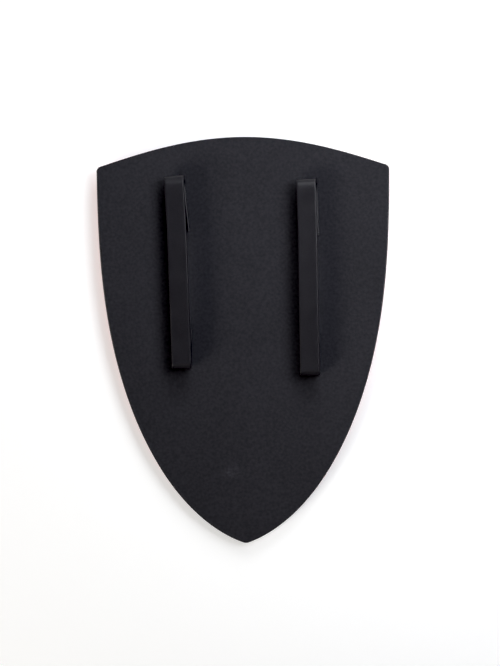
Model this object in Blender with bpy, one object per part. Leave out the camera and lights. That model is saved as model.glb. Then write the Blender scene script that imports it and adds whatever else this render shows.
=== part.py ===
"""Toy heater shield of firm black foam, lying on its front with its two hand straps up.

The board is a sheet cut to a heater outline and bent about its long axis, so the sides
rise off the surface below. Each strap is one foam strip, folded under at both ends and
glued down by its two feet, which leaves a low loop for a small hand.

Metres. +X is to the right seen from the straps' side, +Y is the shield's top edge, +Z is
up. The origin is on the surface below, under the middle of the outline.
"""

import math

import bmesh
import bpy
from mathutils import Matrix, Vector

NAME = "toy_heater_shield"

# Board
HEIGHT = 0.380
WIDTH = 0.274
THICKNESS = 0.012
SIDE_RISE = 0.012  # how far the bend lifts the side edges
FLAT_WIDTH = 0.024  # strip down the middle that stays flat, and that it rests on
FACET = 0.010  # width of one facet across the bend
CORNER_DROP = 0.0290  # from the middle of the top edge down to the corners
CORNER_RADIUS = 0.0030
TIP_RADIUS = 0.0065
ROUND_STEPS = 4
RIM_ROUNDING = 0.0010  # radius of the rim's two arrises
RIM_STEPS = 2

# The outline's run, as shares of half the width (across) and of the height (up or down)
TOP_SWING = 0.410  # handle at the middle of the top edge
CORNER_REACH = (-0.246, 0.0306)  # handle from the corner, back along the top edge
SIDE_REACH = (-0.004, -0.184)  # handle from the corner, down the side
KNEE = (0.8320, 0.3917)  # where the side starts to draw in, up from the tip
KNEE_LEAN = math.radians(16.6)  # the side's slope there, off the long axis
KNEE_REACH = (0.182, 0.2620)  # handles at the knee, up and down the side
TIP_REACH = (0.2700, 0.0313)  # handle from the tip, up the side
OUTLINE_STEPS = 32  # straight pieces in each run of the outline

# Straps
STRAP_WIDTH = 0.0187
STRAP_THICKNESS = 0.0045
STRAP_ARRIS = 0.0006
LOOP_HEIGHT = 0.020  # top of the band over the board, at its ends
BAND_BOW = 0.0020  # how much higher the band is halfway along
SEAT_GAP = 0.0003  # between the feet and the board
BEND_STEPS = 12
BAND_STEPS = 10

# For each strap: the side of the long axis it is on, how far the middle of its upper end
# is across from that axis and down from the board's top, its length, its lean off the
# axis, and the length and further lean of the two feet folded in under it.
STRAPS = {
    "left_strap": {
        "side": -1,
        "across": 0.0652,
        "down": 0.0362,
        "length": 0.1791,
        "lean": math.radians(1.7),
        "top_foot": 0.0520,
        "top_foot_lean": math.radians(3.4),
        "low_foot": 0.0370,
        "low_foot_lean": math.radians(3.0),
    },
    "right_strap": {
        "side": 1,
        "across": 0.0610,
        "down": 0.0396,
        "length": 0.1828,
        "lean": math.radians(0.5),
        "top_foot": 0.0520,
        "top_foot_lean": math.radians(0.8),
        "low_foot": 0.0370,
        "low_foot_lean": math.radians(0.0),
    },
}

FOAM_COLOUR = (0.020, 0.020, 0.024, 1.0)
STRAP_COLOUR = (0.018, 0.018, 0.022, 1.0)
FRONT_COLOUR = (0.420, 0.018, 0.014, 1.0)

WELD = 0.00001
LEVEL = math.radians(0.05)  # faces closer to level with each other than this are one
SHARP = math.radians(30)

BENT_WIDTH = (WIDTH - FLAT_WIDTH) / 2
BEND_RADIUS = (BENT_WIDTH**2 + SIDE_RISE**2) / (2 * SIDE_RISE)


def bent(x, y, height):
    """Where a point of the flat sheet, so high over its front, goes once it is bent."""
    past_flat = max(abs(x) - FLAT_WIDTH / 2, 0.0)
    turn = math.copysign(math.asin(past_flat / BEND_RADIUS), x)
    rise = BEND_RADIUS * (1 - math.cos(turn))
    return Vector((x - height * math.sin(turn), y, rise + height * math.cos(turn)))


def new_material(name, colour, roughness):
    material = bpy.data.materials.new(name)
    material.use_nodes = True
    shader = material.node_tree.nodes["Principled BSDF"]
    shader.inputs["Base Color"].default_value = colour
    shader.inputs["Roughness"].default_value = roughness
    shader.inputs["Metallic"].default_value = 0.0
    material.diffuse_color = colour
    return material


def new_collection(name):
    collection = bpy.data.collections.new(name)
    bpy.context.scene.collection.children.link(collection)
    return collection


def mesh_of_curve(curve_object):
    """The curve as a closed mesh, with its caps welded on. The curve is removed."""
    bpy.context.view_layer.update()
    graph = bpy.context.evaluated_depsgraph_get()
    mesh = bpy.data.meshes.new_from_object(curve_object.evaluated_get(graph))
    bpy.data.objects.remove(curve_object)
    bm = bmesh.new()
    bm.from_mesh(mesh)
    bmesh.ops.remove_doubles(bm, verts=bm.verts, dist=WELD)
    bmesh.ops.dissolve_limit(
        bm, angle_limit=LEVEL, verts=bm.verts, edges=bm.edges
    )
    bmesh.ops.recalc_face_normals(bm, faces=bm.faces)
    bpy.data.meshes.remove(mesh)
    return bm


def outline_knots():
    """The outline's knots with both handles, clockwise from the middle of the top edge."""
    half = WIDTH / 2
    top = Vector((0.0, HEIGHT / 2))
    tip_handle = Vector((TIP_REACH[0] * half, TIP_REACH[1] * HEIGHT))
    rounded_off = TIP_RADIUS * (tip_handle.length / tip_handle.x - 1)
    tip = Vector((0.0, -HEIGHT / 2 - rounded_off))
    corner = Vector((half, HEIGHT / 2 - CORNER_DROP))
    knee = tip + Vector((KNEE[0] * half, KNEE[1] * HEIGHT))
    side = Vector((math.sin(KNEE_LEAN), math.cos(KNEE_LEAN)))
    swing = Vector((TOP_SWING * half, 0.0))
    right = [
        (
            corner,
            corner + Vector((CORNER_REACH[0] * half, CORNER_REACH[1] * HEIGHT)),
            corner + Vector((SIDE_REACH[0] * half, SIDE_REACH[1] * HEIGHT)),
        ),
        (
            knee,
            knee + KNEE_REACH[0] * HEIGHT * side,
            knee - KNEE_REACH[1] * HEIGHT * side,
        ),
    ]
    flip = Matrix.Scale(-1, 2, Vector((1.0, 0.0)))
    left = [(flip @ knot, flip @ after, flip @ before) for knot, before, after in right]
    return [
        (top, top - swing, top + swing),
        *right,
        (tip, tip + tip_handle, tip + flip @ tip_handle),
        *reversed(left),
    ]


def cut_sheet():
    """The flat sheet, cut to the outline, with its front at height 0."""
    curve = bpy.data.curves.new("outline", "CURVE")
    curve.dimensions = "2D"
    curve.fill_mode = "BOTH"
    curve.extrude = THICKNESS / 2
    curve.resolution_u = OUTLINE_STEPS
    knots = outline_knots()
    spline = curve.splines.new("BEZIER")
    spline.bezier_points.add(len(knots) - 1)
    spline.use_cyclic_u = True
    for point, (knot, before, after) in zip(spline.bezier_points, knots):
        point.handle_left_type = "FREE"
        point.handle_right_type = "FREE"
        point.co = (*knot, 0.0)
        point.handle_left = (*before, 0.0)
        point.handle_right = (*after, 0.0)
    sheet = bpy.data.objects.new("outline", curve)
    bpy.context.scene.collection.objects.link(sheet)
    bm = mesh_of_curve(sheet)
    bmesh.ops.translate(bm, verts=bm.verts, vec=(0.0, 0.0, THICKNESS / 2))
    return bm


def round_corner(bm, knot, before, after, radius):
    """Rounds the rim's upright edge that stands at this knot of the outline."""
    edges = [
        edge
        for edge in bm.edges
        if all((vert.co.xy - knot).length < WELD for vert in edge.verts)
    ]
    half_angle = (before - knot).angle(after - knot) / 2
    bmesh.ops.bevel(
        bm,
        geom=edges,
        offset=radius / math.tan(half_angle),
        segments=ROUND_STEPS,
        profile=0.5,
        affect="EDGES",
    )


def make_board(collection):
    bm = cut_sheet()
    _, right_corner, _, tip, _, left_corner = outline_knots()
    round_corner(bm, *right_corner, CORNER_RADIUS)
    round_corner(bm, *left_corner, CORNER_RADIUS)
    round_corner(bm, *tip, TIP_RADIUS)
    arrises = [
        edge
        for edge in bm.edges
        if abs(edge.verts[0].co.z - edge.verts[1].co.z) < WELD
    ]
    bmesh.ops.bevel(
        bm,
        geom=arrises,
        offset=RIM_ROUNDING,
        segments=RIM_STEPS,
        profile=0.5,
        affect="EDGES",
    )
    for step in range(math.ceil(BENT_WIDTH / FACET)):
        cut = FLAT_WIDTH / 2 + step * FACET
        for place in (-cut, cut):
            bmesh.ops.bisect_plane(
                bm,
                geom=[*bm.verts, *bm.edges, *bm.faces],
                plane_co=(place, 0.0, 0.0),
                plane_no=(1.0, 0.0, 0.0),
                dist=WELD,
            )
    for face in bm.faces:
        face.material_index = int(face.calc_center_median().z < WELD)
    for vert in bm.verts:
        vert.co = bent(*vert.co)
    mesh = bpy.data.meshes.new("shield_board")
    bm.to_mesh(mesh)
    bm.free()
    mesh.materials.append(new_material("black_foam", FOAM_COLOUR, 0.85))
    mesh.materials.append(new_material("red_front", FRONT_COLOUR, 0.55))
    mesh.shade_smooth()
    mesh.set_sharp_from_angle(angle=SHARP)
    board = bpy.data.objects.new("shield_board", mesh)
    collection.objects.link(board)
    return board


def strap_section(collection):
    """The strip's cross-section, a rectangle with its four arrises cut back."""
    curve = bpy.data.curves.new("strap_section", "CURVE")
    curve.dimensions = "2D"
    curve.fill_mode = "NONE"
    across = STRAP_WIDTH / 2
    up = STRAP_THICKNESS / 2
    corners = []
    for side_x, side_y in ((1, 1), (-1, 1), (-1, -1), (1, -1)):
        by_top = (side_x * (across - STRAP_ARRIS), side_y * up)
        by_side = (side_x * across, side_y * (up - STRAP_ARRIS))
        corners += [by_side, by_top] if side_x == side_y else [by_top, by_side]
    spline = curve.splines.new("POLY")
    spline.points.add(len(corners) - 1)
    spline.use_cyclic_u = True
    for point, corner in zip(spline.points, corners):
        point.co = (*corner, 0.0, 1.0)
    section = bpy.data.objects.new("strap_section", curve)
    section.hide_render = True
    section.display_type = "WIRE"
    collection.objects.link(section)
    return section


def strip_line(strap):
    """The strip's centre line, from the end of one foot round to the end of the other.

    Points are (across, along, over): along runs from the strap's upper end to its lower
    end, and over is the height above the board's back.
    """
    outer = LOOP_HEIGHT / 2
    radius = outer - STRAP_THICKNESS / 2
    length = strap["length"]
    points = []
    for along in (strap["top_foot"], (strap["top_foot"] + outer) / 2):
        points.append(
            ((along - outer) * math.tan(strap["top_foot_lean"]), along, outer - radius)
        )
    for step in range(BEND_STEPS + 1):
        turn = math.pi * step / BEND_STEPS
        points.append(
            (0.0, outer - radius * math.sin(turn), outer - radius * math.cos(turn))
        )
    for step in range(1, BAND_STEPS):
        share = step / BAND_STEPS
        along = outer + share * (length - 2 * outer)
        bow = BAND_BOW * math.sin(math.pi * share) ** 2
        points.append((0.0, along, outer + radius + bow))
    for step in range(BEND_STEPS + 1):
        turn = math.pi * step / BEND_STEPS
        points.append(
            (
                0.0,
                length - outer + radius * math.sin(turn),
                outer + radius * math.cos(turn),
            )
        )
    for back in ((strap["low_foot"] + outer) / 2, strap["low_foot"]):
        points.append(
            (
                (back - outer) * math.tan(strap["low_foot_lean"]),
                length - back,
                outer - radius,
            )
        )
    return points


def make_strap(name, strap, section, material, collection):
    curve = bpy.data.curves.new(name, "CURVE")
    curve.dimensions = "3D"
    curve.bevel_mode = "OBJECT"
    curve.bevel_object = section
    curve.use_fill_caps = True
    line = strip_line(strap)
    spline = curve.splines.new("POLY")
    spline.points.add(len(line) - 1)
    for point, (across, along, over) in zip(spline.points, line):
        point.co = (across, -along, over, 1.0)
    path = bpy.data.objects.new(name + "_path", curve)
    bpy.context.scene.collection.objects.link(path)
    bm = mesh_of_curve(path)
    upper_end = Vector(
        (
            strap["side"] * strap["across"],
            HEIGHT / 2 - strap["down"],
            THICKNESS + SEAT_GAP,
        )
    )
    lie = Matrix.Translation(upper_end) @ Matrix.Rotation(strap["lean"], 4, "Z")
    for vert in bm.verts:
        vert.co = bent(*(lie @ vert.co))
    mesh = bpy.data.meshes.new(name)
    bm.to_mesh(mesh)
    bm.free()
    mesh.materials.append(material)
    mesh.shade_smooth()
    mesh.set_sharp_from_angle(angle=SHARP)
    piece = bpy.data.objects.new(name, mesh)
    collection.objects.link(piece)
    return piece


def main():
    for old in list(bpy.data.objects):
        bpy.data.objects.remove(old)
    parts = new_collection(NAME)
    guides = new_collection("guides")
    make_board(parts)
    section = strap_section(guides)
    strap_foam = new_material("strap_foam", STRAP_COLOUR, 0.6)
    for name, strap in STRAPS.items():
        make_strap(name, strap, section, strap_foam, parts)


if __name__ == "__main__":
    main()
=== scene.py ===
"""Toy heater shield of firm black foam, lying on its red front with its hand straps up.

The board's cut edge, its grained back and the folded straps are fine meshes around the
solid frame, in metres and in the frame's own axes: +X to the right seen from the straps'
side, +Y towards the top edge, +Z up.
"""

import math

import bmesh
import bpy
import numpy as np
from bpy.props import (
    FloatProperty,
    FloatVectorProperty,
    IntProperty,
    PointerProperty,
)
from mathutils import Euler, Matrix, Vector


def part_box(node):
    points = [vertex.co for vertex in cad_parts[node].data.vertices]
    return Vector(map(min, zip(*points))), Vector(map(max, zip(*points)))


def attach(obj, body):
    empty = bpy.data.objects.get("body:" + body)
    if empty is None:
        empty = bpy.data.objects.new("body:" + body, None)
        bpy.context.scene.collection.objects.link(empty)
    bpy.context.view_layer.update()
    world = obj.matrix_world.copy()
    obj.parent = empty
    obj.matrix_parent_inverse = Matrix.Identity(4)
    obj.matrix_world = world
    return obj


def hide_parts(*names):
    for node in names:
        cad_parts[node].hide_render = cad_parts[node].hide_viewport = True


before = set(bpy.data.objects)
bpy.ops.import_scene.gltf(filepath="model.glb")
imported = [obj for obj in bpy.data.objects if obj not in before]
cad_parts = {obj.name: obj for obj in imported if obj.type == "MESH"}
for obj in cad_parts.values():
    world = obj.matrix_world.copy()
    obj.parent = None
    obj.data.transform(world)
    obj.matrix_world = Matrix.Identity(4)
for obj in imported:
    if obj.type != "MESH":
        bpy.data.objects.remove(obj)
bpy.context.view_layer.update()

bl_info = {
    "name": "Toy heater shield",
    "version": (1, 0, 0),
    "blender": (4, 5, 0),
    "location": "View3D > Sidebar > Shield",
    "description": "Makes a foam play shield with two folded hand straps",
    "category": "Add Mesh",
}

BODY = "root"

# The photo's frame, and how it was taken: from straight above the shield
IMAGE_WIDTH = 500
IMAGE_HEIGHT = 666
SENSOR_WIDTH = 36.0  # in millimetres
CAMERA_DISTANCE = 1.300  # from the board's back
PIXEL = 0.0009348  # side of one pixel at the board's back
BACK_LEVEL = 0.012
ORIGIN_PIXEL = (244.4, 339.95)  # where the shield's origin shows
SHIELD_TURN = math.radians(0.498)  # how far the shield's tip leans to the right

# The board before it is bent
SHEET_WIDTH = 0.274
SHEET_THICKNESS = 0.012
SIDE_RISE = 0.012
FLAT_WIDTH = 0.024
RIM_ROUNDING = 0.0010
BENT_WIDTH = (SHEET_WIDTH - FLAT_WIDTH) / 2
BEND_RADIUS = (BENT_WIDTH**2 + SIDE_RISE**2) / (2 * SIDE_RISE)
SEAT_GAP = 0.0003
WELD = 0.000002
SAME_HEIGHT = 10 * WELD
DECIMALS = 6  # to which points of the outline are one
SCUFF_PLACE = (-0.0127, -0.1234, 0.012)  # a faint rub near the tip
SCUFF_REACH = (0.0105, 0.0075, 0.01)
FRONT_INSET = 2.5 * RIM_ROUNDING  # where the front's coarser grid starts

# How deep the grain goes, as a share of its depth on the back
BACK_GRAIN = 1.0
RIM_GRAIN = 0.5
FRONT_GRAIN = 0.2


class BoardSizes(bpy.types.PropertyGroup):
    columns: IntProperty(
        name="Columns",
        description="Faces across the back, in fours",
        default=240,
        min=16,
    )
    rows: IntProperty(
        name="Rows",
        description="Faces along each side of the back, in fours",
        default=288,
        min=16,
    )
    knee: FloatProperty(
        name="Knee",
        description="Where the grid's lower corners sit, as a share from corner to tip",
        default=0.55,
        min=0.2,
        max=0.9,
    )
    grain_size: FloatProperty(
        name="Grain size",
        description="Distance between the pebbles of the foam's grain",
        default=0.0026,
        unit="LENGTH",
        precision=5,
    )
    grain_depth: FloatProperty(
        name="Grain depth",
        description="Height of the pebbles of the foam's grain",
        default=0.00010,
        unit="LENGTH",
        precision=6,
    )
    grain_seed: FloatProperty(
        name="Grain seed",
        description="Picks one arrangement of the grain",
        default=3.7,
    )
    foam_colour: FloatVectorProperty(
        name="Foam",
        description="The board's black foam",
        subtype="COLOR",
        size=4,
        default=(0.0206, 0.0202, 0.0245, 1.0),
    )
    coat_colour: FloatVectorProperty(
        name="Front coat",
        description="The red coat on the front face",
        subtype="COLOR",
        size=4,
        default=(0.520, 0.026, 0.012, 1.0),
    )


class StrapSizes(bpy.types.PropertyGroup):
    width: FloatProperty(
        name="Width", description="Width of the strip", default=0.0187, unit="LENGTH"
    )
    thickness: FloatProperty(
        name="Thickness",
        description="Thickness of the strip",
        default=0.0045,
        unit="LENGTH",
    )
    arris: FloatProperty(
        name="Arris",
        description="Radius of the strip's long edges",
        default=0.0008,
        unit="LENGTH",
        precision=5,
    )
    loop_height: FloatProperty(
        name="Loop height",
        description="Top of the band over the board, at its ends",
        default=0.020,
        unit="LENGTH",
    )
    band_bow: FloatProperty(
        name="Bow",
        description="How much higher the band is halfway along",
        default=0.0020,
        unit="LENGTH",
    )
    top_squareness: FloatProperty(
        name="Upper bend",
        description="How square the upper bends are, where 2 is round",
        default=3.0,
        min=2.0,
        max=6.0,
    )
    low_squareness: FloatProperty(
        name="Lower bend",
        description="How square the lower bends are, where 2 is round",
        default=5.0,
        min=2.0,
        max=6.0,
    )
    top_reach: FloatProperty(
        name="Upper bend's reach",
        description="How far out the upper bends go, as a share of half their height",
        default=1.80,
        min=0.5,
        max=2.0,
    )
    low_reach: FloatProperty(
        name="Lower bend's reach",
        description="How far out the lower bends go, as a share of half their height",
        default=0.55,
        min=0.5,
        max=1.0,
    )
    spacing: FloatProperty(
        name="Ring spacing",
        description="Distance between the rings of the strip's mesh",
        default=0.0012,
        unit="LENGTH",
        precision=5,
    )
    grain_size: FloatProperty(
        name="Grain size",
        description="Distance between the swellings of the strip's skin",
        default=0.0060,
        unit="LENGTH",
        precision=5,
    )
    grain_depth: FloatProperty(
        name="Grain depth",
        description="Height of the swellings of the strip's skin",
        default=0.00012,
        unit="LENGTH",
        precision=6,
    )
    foam_colour: FloatVectorProperty(
        name="Foam",
        description="The straps' smoother black foam",
        subtype="COLOR",
        size=4,
        default=(0.0156, 0.0147, 0.0178, 1.0),
    )


class StageSizes(bpy.types.PropertyGroup):
    floor_size: FloatProperty(
        name="Floor", description="Side of the floor", default=6.0, unit="LENGTH"
    )
    floor_colour: FloatVectorProperty(
        name="Floor colour",
        description="The pale floor",
        subtype="COLOR",
        size=4,
        default=(0.76, 0.76, 0.76, 1.0),
    )
    floor_glow: FloatProperty(
        name="Floor glow",
        description="How strongly the floor shines by itself, as a white light table does",
        default=0.405,
    )
    key_power: FloatProperty(
        name="Key light",
        description="Power of the large soft light at the upper right",
        default=4.1,
        unit="POWER",
    )
    fill_power: FloatProperty(
        name="Fill light",
        description="Power of the soft light at the left",
        default=14.8,
        unit="POWER",
    )
    back_power: FloatProperty(
        name="Back light",
        description="Power of the low soft light beyond the top edge",
        default=6.4,
        unit="POWER",
    )
    surroundings: FloatProperty(
        name="Surroundings",
        description="Strength of the white surroundings",
        default=0.008,
    )
    black_level: FloatProperty(
        name="Black level",
        description="Light that still shows as black, as in a contrasty photo",
        default=0.0108,
        precision=4,
    )


# For each light: the direction it stands in, its distance from the shield, how wide it is
# and its colour
LIGHTS = {
    "key": ((0.62, 0.38, 1.0), 1.25, 0.74, (0.93, 0.95, 1.0)),
    "fill": ((-1.15, -0.80, 1.0), 1.70, 0.70, (1.0, 0.96, 0.89)),
    "back": ((0.20, 1.0, 0.75), 1.20, 0.60, (0.93, 0.95, 1.0)),
}
KEY_AIM = Vector((0.46, 0.28, 0.0))  # past the shield, so that it dims to the lower left
KEY_SPREAD = math.radians(90.0)
WHITE = (1.0, 1.0, 1.0, 1.0)

# Steps of the meshes
ARRIS_STEPS = 4
WALL_STEPS = 5
SIDE_STEPS = 2000  # of the outline's sides, before they are shared out over the rows
FRONT_STEP = 4  # faces of the back for one of the front, each way
STRIP_STEPS = (4, 14, 4, 14)  # along the sides of a strap's section
BEND_STEPS = 24
BAND_STEPS = 40
FOOT_STEPS = 12

# The straps' creased bends, curled feet and swayed ends
CREASE_TURN = math.radians(133)
CREASE_SPREAD = math.radians(7)
LIP_START = 0.50  # where a foot's lip starts, as a share from its middle to its edge
LIP_CREST = 0.84  # where it is highest, as such a share
LIP_FALL = 0.26  # how far it drops again to its edge, as a share of its height
LIP_GROWN = 0.7  # where along the foot the lip is full, as a share of its length
FOOT_TOP = 1.1  # what belongs to a foot: as high as this, in strap thicknesses
FOOT_END = 1.05  # and as far along as this, in foot lengths
SWAY_LENGTH = 0.060
SWAY_RISE = (0.6, 1.4)  # over which heights the sway grows, as shares of half a loop

# For each strap: the side of the long axis it is on, how far the middle of its upper end
# is across from that axis and down from the board's top, its length, its lean off the
# axis, each foot's length, further lean and how far its lip curls up, how far its upper
# end sways aside, and the depth of the crease across its upper bend.
STRAPS = {
    "left_strap": {
        "side": -1,
        "across": 0.0652,
        "down": 0.0374,
        "length": 0.1787,
        "lean": math.radians(1.7),
        "top_foot": (0.0520, math.radians(4.3), 0.0045),
        "low_foot": (0.0370, math.radians(4.0), 0.0035),
        "sway": -0.0009,
        "crease": 0.0005,
    },
    "right_strap": {
        "side": 1,
        "across": 0.0610,
        "down": 0.0410,
        "length": 0.1822,
        "lean": math.radians(0.5),
        "top_foot": (0.0520, math.radians(1.4), 0.0010),
        "low_foot": (0.0370, 0.0, 0.0),
        "sway": -0.0007,
        "crease": 0.0,
    },
}


def bent(flat):
    """Where points of the flat sheet, so high over its front, go once it is bent."""
    x, y, height = flat.T
    past_flat = np.maximum(np.abs(x) - FLAT_WIDTH / 2, 0.0)
    turn = np.copysign(np.arcsin(past_flat / BEND_RADIUS), x)
    rise = BEND_RADIUS * (1 - np.cos(turn))
    return np.column_stack(
        (x - height * np.sin(turn), y, rise + height * np.cos(turn))
    )


def flattened(points):
    """The reverse of bent."""
    x, y, z = points.T
    past_flat = np.maximum(np.abs(x) - FLAT_WIDTH / 2, 0.0)
    turn = np.arctan2(past_flat, BEND_RADIUS - z)
    on_bend = past_flat > 0
    reach = np.hypot(past_flat, BEND_RADIUS - z)
    flat_x = np.copysign(FLAT_WIDTH / 2 + BEND_RADIUS * np.sin(turn), x)
    height = np.where(on_bend, BEND_RADIUS - reach, z)
    return np.column_stack((np.where(on_bend, flat_x, x), y, height))


def points_of(mesh):
    points = np.empty(len(mesh.vertices) * 3)
    mesh.vertices.foreach_get("co", points)
    return points.reshape(-1, 3)


def new_object(name, mesh):
    made = bpy.data.objects.new(name, mesh)
    bpy.context.scene.collection.objects.link(made)
    return made


# Node helpers

NOISE_RANGE = (0.3, 0.7)  # between which noise mostly stays
NOISE_MIDDLE = 0.5
SPOT_CORE = 0.3  # out to where a spot is full, as a share of its reach


def link_all(tree, *pairs):
    for start, end in pairs:
        tree.links.new(start, end)


def add_node(tree, kind, values=(), **settings):
    node = tree.nodes.new(kind)
    for name, value in settings.items():
        setattr(node, name, value)
    for name, value in dict(values).items():
        node.inputs[name].default_value = value
    return node


def new_material(name, colour, roughness, specular):
    material = bpy.data.materials.new(name)
    material.use_nodes = True
    material.diffuse_color = colour
    shader = material.node_tree.nodes["Principled BSDF"]
    shader.inputs["Base Color"].default_value = colour
    shader.inputs["Roughness"].default_value = roughness
    shader.inputs["Specular IOR Level"].default_value = specular
    return material, material.node_tree, shader


def add_noise(tree, scale, detail=2.0):
    """Noise on the piece's own coordinates. Scale is in waves for each metre."""
    place = add_node(tree, "ShaderNodeTexCoord")
    noise = add_node(tree, "ShaderNodeTexNoise", {"Scale": scale, "Detail": detail})
    tree.links.new(place.outputs["Object"], noise.inputs["Vector"])
    return noise.outputs["Fac"]


def add_range(tree, value, low, high, to_low, to_high):
    node = add_node(
        tree,
        "ShaderNodeMapRange",
        {"From Min": low, "From Max": high, "To Min": to_low, "To Max": to_high},
    )
    tree.links.new(value, node.inputs["Value"])
    return node.outputs["Result"]


def add_swing(tree, noise, low, high):
    """Noise, brought to swing between two values."""
    return add_range(tree, noise, *NOISE_RANGE, low, high)


def add_tint(tree, colour, factor):
    """The colour, times a factor that varies over the surface."""
    node = add_node(tree, "ShaderNodeVectorMath", operation="SCALE")
    node.inputs[0].default_value = colour[:3]
    tree.links.new(factor, node.inputs["Scale"])
    return node.outputs["Vector"]


def add_bump(tree, shader, layers):
    """Bump layers, each of a height, its strength and its depth in metres."""
    normal = None
    for height, strength, depth in layers:
        bump = add_node(
            tree, "ShaderNodeBump", {"Strength": strength, "Distance": depth}
        )
        tree.links.new(height, bump.inputs["Height"])
        if normal:
            tree.links.new(normal, bump.inputs["Normal"])
        normal = bump.outputs["Normal"]
    tree.links.new(normal, shader.inputs["Normal"])


def add_spot(tree, centre, reach):
    """1 at a place on the piece, falling to 0 at a distance from it along each axis."""
    place = add_node(tree, "ShaderNodeTexCoord")
    seat = add_node(tree, "ShaderNodeMapping", {"Location": centre}, vector_type="TEXTURE")
    seat.inputs["Scale"].default_value = reach
    away = add_node(tree, "ShaderNodeVectorMath", operation="LENGTH")
    link_all(
        tree,
        (place.outputs["Object"], seat.inputs["Vector"]),
        (seat.outputs["Vector"], away.inputs[0]),
    )
    return add_range(tree, away.outputs["Value"], 1.0, SPOT_CORE, 0.0, 1.0)


def add_maths(tree, operation, *values):
    node = add_node(tree, "ShaderNodeMath", operation=operation)
    for socket, value in zip(node.inputs, values):
        if isinstance(value, float):
            socket.default_value = value
        else:
            tree.links.new(value, socket)
    return node.outputs["Value"]


# Materials

# Their noise, in waves for each metre
CELL_WAVES = 1400.0
BOARD_CLOUD_WAVES = 14.0
SCUFF_WAVES = 330.0
PEEL_WAVES = 520.0
COAT_CLOUD_WAVES = 9.0
SKIN_WAVES = 700.0
STRAP_CLOUD_WAVES = 60.0

SCUFF_EDGE = (0.40, 0.62)  # of its noise, from unworn to worn
SCUFF_LIGHT = (0.04, 0.70)  # what it adds to the foam's shade there


def board_foam(sizes):
    """Matte black foam with a fine pebbled grain and one pale scuff near the tip."""
    material, tree, shader = new_material(
        "board_foam", sizes.foam_colour[:], roughness=0.80, specular=0.30
    )
    grain = add_noise(tree, 1 / sizes.grain_size, detail=3.0)
    cells = add_noise(tree, CELL_WAVES)
    cloud = add_noise(tree, BOARD_CLOUD_WAVES, detail=3.0)
    worn = add_noise(tree, SCUFF_WAVES, detail=3.0)
    scuff = add_maths(
        tree,
        "MULTIPLY",
        add_spot(tree, SCUFF_PLACE, SCUFF_REACH),
        add_range(tree, worn, *SCUFF_EDGE, *SCUFF_LIGHT),
    )
    factor = add_maths(
        tree,
        "MULTIPLY",
        add_swing(tree, grain, 0.79, 1.21),
        add_swing(tree, cloud, 0.94, 1.06),
    )
    shade = add_maths(tree, "ADD", factor, scuff)
    tree.links.new(add_tint(tree, sizes.foam_colour, shade), shader.inputs["Base Color"])
    add_bump(tree, shader, [(grain, 0.55, 0.00022), (cells, 0.30, 0.00008)])
    return material


def front_coat(sizes):
    """Plain red coat with a slight orange-peel skin."""
    material, tree, shader = new_material(
        "front_coat", sizes.coat_colour[:], roughness=0.42, specular=0.5
    )
    peel = add_noise(tree, PEEL_WAVES)
    cloud = add_noise(tree, COAT_CLOUD_WAVES, detail=3.0)
    factor = add_swing(tree, cloud, 0.93, 1.07)
    tree.links.new(add_tint(tree, sizes.coat_colour, factor), shader.inputs["Base Color"])
    tree.links.new(add_swing(tree, cloud, 0.36, 0.48), shader.inputs["Roughness"])
    add_bump(tree, shader, [(peel, 0.15, 0.00010)])
    return material


def strap_foam(sizes):
    """The straps' black foam, with a smoother skin than the board's."""
    material, tree, shader = new_material(
        "strap_foam", sizes.foam_colour[:], roughness=0.42, specular=0.34
    )
    skin = add_noise(tree, SKIN_WAVES, detail=3.0)
    cloud = add_noise(tree, STRAP_CLOUD_WAVES, detail=3.0)
    factor = add_maths(
        tree,
        "MULTIPLY",
        add_swing(tree, skin, 0.88, 1.12),
        add_swing(tree, cloud, 0.94, 1.06),
    )
    tree.links.new(add_tint(tree, sizes.foam_colour, factor), shader.inputs["Base Color"])
    tree.links.new(add_swing(tree, cloud, 0.38, 0.46), shader.inputs["Roughness"])
    add_bump(tree, shader, [(skin, 0.25, 0.00008)])
    return material


# Geometry node trees


def new_tree(name, inputs):
    """A geometry node tree with a Geometry input and output and these named inputs."""
    tree = bpy.data.node_groups.new(name, "GeometryNodeTree")
    face = tree.interface
    face.new_socket("Geometry", in_out="INPUT", socket_type="NodeSocketGeometry")
    for label, kind in inputs:
        face.new_socket(label, in_out="INPUT", socket_type="NodeSocket" + kind)
    face.new_socket("Geometry", in_out="OUTPUT", socket_type="NodeSocketGeometry")
    start = add_node(tree, "NodeGroupInput")
    end = add_node(tree, "NodeGroupOutput")
    return tree, start.outputs, end.inputs["Geometry"]


def add_relief(tree, geometry, given, share=None):
    """Moves the surface in and out along its normal by noise of the given size and depth."""
    scale = add_maths(tree, "DIVIDE", 1.0, given["Grain size"])
    noise = add_node(tree, "ShaderNodeTexNoise", {"Detail": 2.0}, noise_dimensions="4D")
    centred = add_maths(tree, "SUBTRACT", noise.outputs["Fac"], NOISE_MIDDLE)
    amount = add_maths(tree, "MULTIPLY", centred, given["Grain depth"])
    if share:
        amount = add_maths(tree, "MULTIPLY", amount, share)
    normal = add_node(tree, "GeometryNodeInputNormal")
    step = add_node(tree, "ShaderNodeVectorMath", operation="SCALE")
    moved = add_node(tree, "GeometryNodeSetPosition")
    link_all(
        tree,
        (scale, noise.inputs["Scale"]),
        (given["Seed"], noise.inputs["W"]),
        (normal.outputs["Normal"], step.inputs[0]),
        (amount, step.inputs["Scale"]),
        (geometry, moved.inputs["Geometry"]),
        (step.outputs["Vector"], moved.inputs["Offset"]),
    )
    return moved.outputs["Geometry"]


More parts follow.
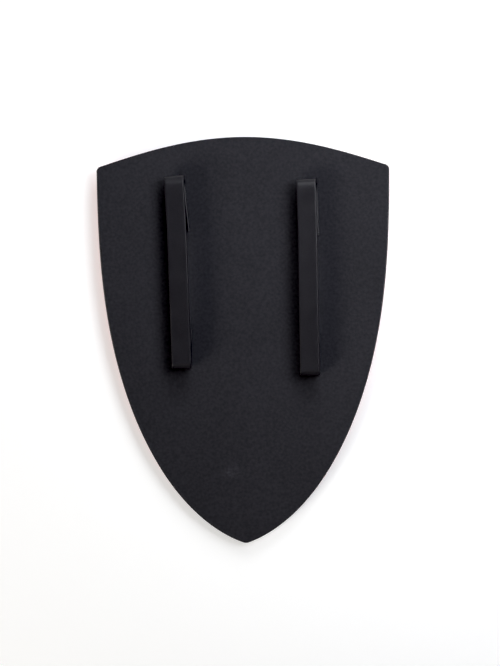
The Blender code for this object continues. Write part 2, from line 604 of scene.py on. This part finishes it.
def add_finish(tree, geometry, material):
    """Smooth shading, real geometry and a material."""
    smooth = add_node(tree, "GeometryNodeSetShadeSmooth")
    real = add_node(tree, "GeometryNodeRealizeInstances")
    finish = add_node(tree, "GeometryNodeSetMaterial")
    link_all(
        tree,
        (geometry, smooth.inputs["Geometry"]),
        (smooth.outputs["Geometry"], real.inputs["Geometry"]),
        (real.outputs["Geometry"], finish.inputs["Geometry"]),
        (material, finish.inputs["Material"]),
    )
    return finish.outputs["Geometry"]


def grain_tree():
    """Foam grain on a mesh, deep where its grain attribute is high, and its two finishes."""
    tree, given, out = new_tree(
        "foam_grain",
        [
            ("Grain size", "Float"),
            ("Grain depth", "Float"),
            ("Seed", "Float"),
            ("Foam", "Material"),
            ("Front coat", "Material"),
        ],
    )
    share = add_node(
        tree, "GeometryNodeInputNamedAttribute", {"Name": "grain"}, data_type="FLOAT"
    )
    front = add_node(
        tree, "GeometryNodeInputNamedAttribute", {"Name": "front"}, data_type="BOOLEAN"
    )
    relief = add_relief(tree, given["Geometry"], given, share.outputs["Attribute"])
    foam = add_finish(tree, relief, given["Foam"])
    coat = add_node(tree, "GeometryNodeSetMaterial")
    link_all(
        tree,
        (foam, coat.inputs["Geometry"]),
        (front.outputs["Attribute"], coat.inputs["Selection"]),
        (given["Front coat"], coat.inputs["Material"]),
        (coat.outputs["Geometry"], out),
    )
    return tree


def strip_tree():
    """A foam strip that follows a curve, with the section of another curve."""
    tree, given, out = new_tree(
        "foam_strip",
        [
            ("Section", "Object"),
            ("Ring spacing", "Float"),
            ("Grain size", "Float"),
            ("Grain depth", "Float"),
            ("Seed", "Float"),
            ("Foam", "Material"),
        ],
    )
    even = add_node(tree, "GeometryNodeResampleCurve", mode="LENGTH")
    section = add_node(tree, "GeometryNodeObjectInfo")
    sweep = add_node(tree, "GeometryNodeCurveToMesh", {"Fill Caps": True})
    link_all(
        tree,
        (given["Geometry"], even.inputs["Curve"]),
        (given["Ring spacing"], even.inputs["Length"]),
        (given["Section"], section.inputs["Object"]),
        (even.outputs["Curve"], sweep.inputs["Curve"]),
        (section.outputs["Geometry"], sweep.inputs["Profile Curve"]),
    )
    relief = add_relief(tree, sweep.outputs["Mesh"], given)
    tree.links.new(add_finish(tree, relief, given["Foam"]), out)
    return tree


def baked(name, source, tree, values):
    """Runs the tree on the source object, and returns the result as a plain mesh."""
    modifier = source.modifiers.new(tree.name, "NODES")
    modifier.node_group = tree
    for item in tree.interface.items_tree:
        if item.in_out == "INPUT" and item.name in values:
            modifier[item.identifier] = values[item.name]
    bpy.context.view_layer.update()
    graph = bpy.context.evaluated_depsgraph_get()
    mesh = bpy.data.meshes.new_from_object(
        source.evaluated_get(graph), preserve_all_data_layers=True, depsgraph=graph
    )
    mesh.name = name
    bpy.data.objects.remove(source)
    return mesh


def weld(mesh, turn_out=False):
    """Joins points that meet, and where asked, turns the faces outwards."""
    bm = bmesh.new()
    bm.from_mesh(mesh)
    bmesh.ops.remove_doubles(bm, verts=bm.verts, dist=WELD)
    if turn_out:
        bmesh.ops.recalc_face_normals(bm, faces=bm.faces)
    bm.to_mesh(mesh)
    bm.free()


# Board


def board_outline():
    """The outline of the frame's board, unbent, anticlockwise seen from the straps' side."""
    flat = flattened(points_of(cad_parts["shield_board"].data))
    wall = flat[np.abs(flat[:, 2] - RIM_ROUNDING) < SAME_HEIGHT]
    wall = np.unique(np.round(wall[:, :2], DECIMALS), axis=0)
    middle = (wall.max(axis=0) + wall.min(axis=0)) / 2
    turn = np.arctan2(*(wall - middle).T[::-1])
    return wall[np.argsort(turn)]


def evenly(line, steps):
    """Points evenly spaced along a line of points, from one end to the other."""
    lengths = np.linalg.norm(np.diff(line, axis=0), axis=1)
    way = np.concatenate(([0.0], np.cumsum(lengths)))
    even = np.linspace(0.0, way[-1], steps + 1)
    return np.column_stack([np.interp(even, way, axis) for axis in line.T])


def board_ring(sizes):
    """Points round the outline from the right knee: up the side, over the top, down to
    the left knee and round by the tip."""
    outline = board_outline()
    right_corner = np.argmax(outline @ (1, 1))
    line = np.roll(outline, -right_corner, axis=0)
    left_corner = np.argmax(line @ (-1, 1))
    tip = np.argmin(line[:, 1])
    top = line[: left_corner + 1]
    left = line[left_corner : tip + 1]
    right = np.vstack((line[tip:], line[:1]))
    left = evenly(left, SIDE_STEPS)
    right = evenly(right, SIDE_STEPS)
    knee = int(SIDE_STEPS * sizes.knee)
    bottom = np.vstack((left[knee:], right[1 : SIDE_STEPS - knee + 1]))
    runs = (
        (right[SIDE_STEPS - knee :], sizes.rows),
        (top, sizes.columns),
        (left[: knee + 1], sizes.rows),
        (bottom, sizes.columns),
    )
    return np.vstack([evenly(run, steps)[:-1] for run, steps in runs])


def inset(ring, distance):
    """The ring, drawn in by a distance."""
    along = np.roll(ring, -1, axis=0) - np.roll(ring, 1, axis=0)
    along /= np.linalg.norm(along, axis=1)[:, None]
    inwards = np.column_stack((-along[:, 1], along[:, 0]))
    return ring + distance * inwards


def patch(ring, rows, columns):
    """A grid of points that fills a ring, from its four runs."""
    count = len(ring)
    right = ring[: rows + 1]
    top = ring[rows : rows + columns + 1]
    left = ring[rows + columns : 2 * rows + columns + 1][::-1]
    bottom = ring[np.arange(count - columns, count + 1) % count][::-1]
    up = np.linspace(0, 1, rows + 1)[:, None, None]
    over = np.linspace(0, 1, columns + 1)[None, :, None]
    sides = (1 - over) * right[:, None] + over * left[:, None]
    ends = (1 - up) * bottom[None, :] + up * top[None, :]
    corners = (1 - up) * ((1 - over) * bottom[0] + over * bottom[-1])
    corners += up * ((1 - over) * top[0] + over * top[-1])
    return sides + ends - corners


class Skin:
    """Collects points and faces of a surface that is welded afterwards."""

    def __init__(self):
        self.points = []
        self.faces = []
        self.grain = []
        self.front = []

    def add(self, points, height, grain):
        """Adds points at a height of the flat sheet, and returns their numbers."""
        first = len(self.points)
        flat = points.reshape(-1, 2)
        self.points += [(*point, height) for point in flat]
        self.grain += [grain] * len(flat)
        return (first + np.arange(len(flat))).reshape(points.shape[:-1])

    def face(self, faces, front=False):
        self.faces += faces
        self.front += [front] * len(faces)


def quads(numbers, closed=False):
    """Faces between neighbouring rows and columns of a grid of point numbers."""
    if closed:
        numbers = np.column_stack((numbers, numbers[:, :1]))
    upper, lower = numbers[:-1], numbers[1:]
    corners = (upper[:, :-1], lower[:, :-1], lower[:, 1:], upper[:, 1:])
    return np.stack(corners, -1).reshape(-1, 4).tolist()


def rim_profile():
    """(inset, height) down the rim, from the back's edge to the front's."""
    upper = []
    for turn in np.linspace(0, math.pi / 2, ARRIS_STEPS + 1):
        into = RIM_ROUNDING * (1 - math.sin(turn))
        upper.append((into, SHEET_THICKNESS - RIM_ROUNDING * (1 - math.cos(turn))))
    heights = np.linspace(SHEET_THICKNESS - RIM_ROUNDING, RIM_ROUNDING, WALL_STEPS + 1)
    wall = [(0.0, height) for height in heights[1:-1]]
    lower = [(into, SHEET_THICKNESS - height) for into, height in reversed(upper)]
    return upper + wall + lower


def board_mesh(sizes):
    """The bent board as one closed skin: grained back, cut rim and coarser front."""
    ring = board_ring(sizes)
    skin = Skin()
    back = patch(inset(ring, RIM_ROUNDING), sizes.rows, sizes.columns)
    skin.face(quads(skin.add(back, SHEET_THICKNESS, BACK_GRAIN)))
    rim = [
        skin.add(inset(ring, into), height, RIM_GRAIN) for into, height in rim_profile()
    ]
    skin.face(quads(np.array(rim), closed=True))
    edge = rim[-1]
    inner = inset(ring, FRONT_INSET)[::FRONT_STEP]
    step_in = skin.add(inner, 0.0, FRONT_GRAIN)
    after = np.roll(step_in, -1)
    for place, (start, end) in enumerate(zip(step_in, after)):
        along = FRONT_STEP * place + np.arange(FRONT_STEP + 1)
        outer = edge[along % len(edge)].tolist()
        skin.face([[outer[0], int(start), int(end), *outer[:0:-1]]], front=True)
    front = patch(inner, sizes.rows // FRONT_STEP, sizes.columns // FRONT_STEP)
    numbers = skin.add(front, 0.0, FRONT_GRAIN)
    skin.face([face[::-1] for face in quads(numbers)], front=True)
    mesh = bpy.data.meshes.new("board_skin")
    mesh.from_pydata(bent(np.array(skin.points)).tolist(), [], skin.faces)
    grain = mesh.attributes.new("grain", "FLOAT", "POINT")
    grain.data.foreach_set("value", skin.grain)
    is_front = mesh.attributes.new("front", "BOOLEAN", "FACE")
    is_front.data.foreach_set("value", skin.front)
    weld(mesh)
    return mesh


# Straps


def section_points(sizes):
    """The strip's section: a rectangle with rounded arrises and points along its sides."""
    across = sizes.width / 2 - sizes.arris
    up = sizes.thickness / 2 - sizes.arris
    centres = ((across, up), (-across, up), (-across, -up), (across, -up))
    points = []
    for corner, (x, y) in enumerate(centres):
        for step in range(ARRIS_STEPS + 1):
            turn = math.radians(90 * (corner + step / ARRIS_STEPS))
            out, over = sizes.arris * math.cos(turn), sizes.arris * math.sin(turn)
            points.append((x + out, y + over, 0.0))
        following = (corner + 1) % len(centres)
        next_x, next_y = centres[following]
        start_x, start_y, _ = points[-1]
        for step in range(1, STRIP_STEPS[following]):
            share = step / STRIP_STEPS[following]
            place = (start_x + share * (next_x - x), start_y + share * (next_y - y))
            points.append((*place, 0.0))
    return points


def bend_point(turn, reach, radius, squareness):
    """A point of a bend from its lower end at 0 to its upper end at 180 degrees, as how
    far out it is and how far up, where 2 is a half ellipse and more is squarer."""
    power = 2 / squareness
    up = math.copysign(abs(math.cos(turn)) ** power, -math.cos(turn))
    return reach * abs(math.sin(turn)) ** power, radius * up


def creased(turn, depth):
    """How far a crease draws a bend in at this turn."""
    return depth * math.exp(-(((turn - CREASE_TURN) / CREASE_SPREAD) ** 2))


def strip_line(sizes, strap):
    """The strip's centre line, from the end of one foot round to the end of the other, as
    (across, along, over the board's back)."""
    half = sizes.thickness / 2
    radius = sizes.loop_height / 2 - half
    top_reach = radius * sizes.top_reach
    low_reach = radius * sizes.low_reach
    top_start = top_reach + half
    low_start = low_reach + half
    length = strap["length"]
    top_foot, top_lean, _ = strap["top_foot"]
    low_foot, low_lean, _ = strap["low_foot"]
    top_slant = math.tan(top_lean)
    low_slant = math.tan(low_lean)
    turns = np.linspace(0, math.pi, BEND_STEPS + 1)
    points = []
    for back in np.linspace(top_foot, top_start, FOOT_STEPS + 1)[:-1]:
        points.append((back * top_slant, -back, half))
    for turn in turns[:-1]:
        out, up = bend_point(turn, top_reach, radius, sizes.top_squareness)
        across = top_start * top_slant * (1 - turn / math.pi)
        drawn_in = creased(turn, strap["crease"])
        points.append((across, out - drawn_in - top_start, half + radius + up - drawn_in))
    for share in np.linspace(0, 1, BAND_STEPS + 1)[:-1]:
        bow = sizes.band_bow * math.sin(math.pi * share) ** 2
        along = -top_start - share * (length - top_start - low_start)
        points.append((0.0, along, half + 2 * radius + bow))
    for turn in turns[::-1]:
        out, up = bend_point(turn, low_reach, radius, sizes.low_squareness)
        across = low_start * low_slant * (1 - turn / math.pi)
        points.append((across, low_start - length - out, half + radius + up))
    for back in np.linspace(low_start, low_foot, FOOT_STEPS + 1)[1:]:
        points.append((back * low_slant, back - length, half))
    return points


def straight_curve(name, points, dimensions="3D", closed=False):
    """A curve object that runs straight from point to point."""
    curve = bpy.data.curves.new(name, "CURVE")
    curve.dimensions = dimensions
    spline = curve.splines.new("POLY")
    spline.points.add(len(points) - 1)
    spline.use_cyclic_u = closed
    for point, place in zip(spline.points, points):
        point.co = (*place, 1.0)
    return new_object(name, curve)


def eased(value, low, high):
    """0 below low, 1 above high and a smooth step between."""
    share = np.clip((value - low) / (high - low), 0.0, 1.0)
    return share * share * (3 - 2 * share)


def worked(points, sizes, strap):
    """The strip as glued by hand: its band swayed aside at its upper end, and a lip curled
    up along one edge of each foot."""
    x, along, over = points.T
    half = sizes.width / 2
    outer = sizes.loop_height / 2
    length = strap["length"]
    lift = np.zeros_like(x)
    for reach, lean, curl, back in (
        (*strap["top_foot"], -along),
        (*strap["low_foot"], length + along),
    ):
        place = (x - back * math.tan(lean)) / half
        edge = eased(place, LIP_START, LIP_CREST) - LIP_FALL * eased(place, LIP_CREST, 1.0)
        growing = eased(back, outer, LIP_GROWN * reach)
        on_foot = (over < FOOT_TOP * sizes.thickness) & (back < FOOT_END * reach)
        lift += np.where(on_foot, curl * edge * growing, 0.0)
    low, high = SWAY_RISE
    on_band = eased(over, low * outer, high * outer)
    swayed = strap["sway"] * on_band * (1 - eased(-along, 0.0, SWAY_LENGTH))
    return np.column_stack((x + swayed, along, over + lift))


def laid(points, strap):
    """Strap coordinates to the flat sheet's, at the strap's place and lean."""
    x, along, over = points.T
    turn = strap["lean"]
    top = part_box("shield_board")[1].y
    return np.column_stack(
        (
            strap["side"] * strap["across"] + x * math.cos(turn) - along * math.sin(turn),
            top - strap["down"] + x * math.sin(turn) + along * math.cos(turn),
            SHEET_THICKNESS + SEAT_GAP + over,
        )
    )


class SHIELD_OT_board(bpy.types.Operator):
    """Makes the grained foam board with its cut rim and its red front"""

    bl_idname = "toy_shield.board"
    bl_label = "Foam board"

    def execute(self, context):
        sizes = context.scene.shield_board_sizes
        source = new_object("board_skin", board_mesh(sizes))
        mesh = baked(
            "foam_board",
            source,
            grain_tree(),
            {
                "Grain size": sizes.grain_size,
                "Grain depth": sizes.grain_depth,
                "Seed": sizes.grain_seed,
                "Foam": board_foam(sizes),
                "Front coat": front_coat(sizes),
            },
        )
        board = new_object("foam_board", mesh)
        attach(board, BODY)
        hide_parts("shield_board")
        return {"FINISHED"}


class SHIELD_OT_straps(bpy.types.Operator):
    """Makes the hand straps, each one strip folded under at both ends"""

    bl_idname = "toy_shield.straps"
    bl_label = "Hand straps"

    def execute(self, context):
        sizes = context.scene.shield_strap_sizes
        tree = strip_tree()
        section = straight_curve("strip_section", section_points(sizes), "2D", closed=True)
        foam = strap_foam(sizes)
        for seed, (name, strap) in enumerate(STRAPS.items()):
            mesh = baked(
                name + "_strip",
                straight_curve(name + "_line", strip_line(sizes, strap)),
                tree,
                {
                    "Section": section,
                    "Ring spacing": sizes.spacing,
                    "Grain size": sizes.grain_size,
                    "Grain depth": sizes.grain_depth,
                    "Seed": float(seed),
                    "Foam": foam,
                },
            )
            flat = laid(worked(points_of(mesh), sizes, strap), strap)
            mesh.vertices.foreach_set("co", bent(flat).ravel())
            weld(mesh, turn_out=True)
            strip = new_object(name + "_strip", mesh)
            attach(strip, BODY)
            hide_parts(name)
        bpy.data.objects.remove(section)
        return {"FINISHED"}


class SHIELD_OT_stage(bpy.types.Operator):
    """Makes the pale floor, the soft light and the camera"""

    bl_idname = "toy_shield.stage"
    bl_label = "Stage"

    def execute(self, context):
        sizes = context.scene.shield_stage_sizes
        self.add_floor(sizes)
        self.add_lights(sizes)
        self.add_surroundings(sizes)
        self.add_camera()
        self.set_contrast(sizes)
        return {"FINISHED"}

    def add_floor(self, sizes):
        mesh = bpy.data.meshes.new("floor")
        bm = bmesh.new()
        bmesh.ops.create_grid(bm, x_segments=1, y_segments=1, size=sizes.floor_size / 2)
        bm.to_mesh(mesh)
        bm.free()
        floor = new_object("floor", mesh)
        material, tree, shader = new_material(
            "pale_floor", sizes.floor_colour[:], roughness=0.9, specular=0.1
        )
        shader.inputs["Emission Color"].default_value = WHITE
        shader.inputs["Emission Strength"].default_value = sizes.floor_glow
        mesh.materials.append(material)

    def add_lights(self, sizes):
        for name, (towards, distance, width, colour) in LIGHTS.items():
            light = bpy.data.lights.new(name, "AREA")
            light.shape = "DISK"
            light.size = width
            light.color = colour
            light.energy = getattr(sizes, name + "_power")
            lamp = new_object(name + "_light", light)
            lamp.location = Vector(towards).normalized() * distance
            aim = Vector()
            if name == "key":
                light.spread = KEY_SPREAD
                aim = KEY_AIM
            lamp.rotation_euler = (lamp.location - aim).to_track_quat("Z", "Y").to_euler()
            lamp.visible_camera = False

    def add_surroundings(self, sizes):
        world = bpy.data.worlds.new("white_surroundings")
        world.use_nodes = True
        background = world.node_tree.nodes["Background"]
        background.inputs["Color"].default_value = WHITE
        background.inputs["Strength"].default_value = sizes.surroundings
        bpy.context.scene.world = world

    def set_contrast(self, sizes):
        view = bpy.context.scene.view_settings
        view.view_transform = "Standard"
        view.use_curve_mapping = True
        view.curve_mapping.black_level = (sizes.black_level,) * 3
        view.curve_mapping.update()

    def add_camera(self):
        camera = bpy.data.cameras.new("camera")
        camera.sensor_width = SENSOR_WIDTH
        camera.lens = camera.sensor_width * CAMERA_DISTANCE / (IMAGE_HEIGHT * PIXEL)
        seat = new_object("camera", camera)
        across = (IMAGE_WIDTH / 2 - ORIGIN_PIXEL[0]) * PIXEL
        up = (ORIGIN_PIXEL[1] - IMAGE_HEIGHT / 2) * PIXEL
        place = Vector((across, up, BACK_LEVEL + CAMERA_DISTANCE))
        turn = Euler((0.0, 0.0, -SHIELD_TURN))
        place.rotate(turn)
        seat.location = place
        seat.rotation_euler = turn
        bpy.context.scene.camera = seat


class SHIELD_PT_panel(bpy.types.Panel):
    """Lists the shield's pieces and their sizes"""

    bl_idname = "SHIELD_PT_panel"
    bl_label = "Toy heater shield"
    bl_space_type = "VIEW_3D"
    bl_region_type = "UI"
    bl_category = "Shield"

    def draw(self, context):
        scene = context.scene
        for step, group in (
            (SHIELD_OT_stage, scene.shield_stage_sizes),
            (SHIELD_OT_board, scene.shield_board_sizes),
            (SHIELD_OT_straps, scene.shield_strap_sizes),
        ):
            box = self.layout.box()
            box.operator(step.bl_idname)
            for name in group.bl_rna.properties.keys():
                if name not in {"rna_type", "name"}:
                    box.prop(group, name)


GROUPS = {
    "shield_board_sizes": BoardSizes,
    "shield_strap_sizes": StrapSizes,
    "shield_stage_sizes": StageSizes,
}
CLASSES = (
    *GROUPS.values(),
    SHIELD_OT_board,
    SHIELD_OT_straps,
    SHIELD_OT_stage,
    SHIELD_PT_panel,
)


def register():
    for kind in CLASSES:
        bpy.utils.register_class(kind)
    for name, kind in GROUPS.items():
        setattr(bpy.types.Scene, name, PointerProperty(type=kind))


def unregister():
    for name in GROUPS:
        delattr(bpy.types.Scene, name)
    for kind in reversed(CLASSES):
        bpy.utils.unregister_class(kind)


def main():
    register()
    bpy.ops.toy_shield.stage()
    bpy.ops.toy_shield.board()
    bpy.ops.toy_shield.straps()


if __name__ == "__main__":
    main()
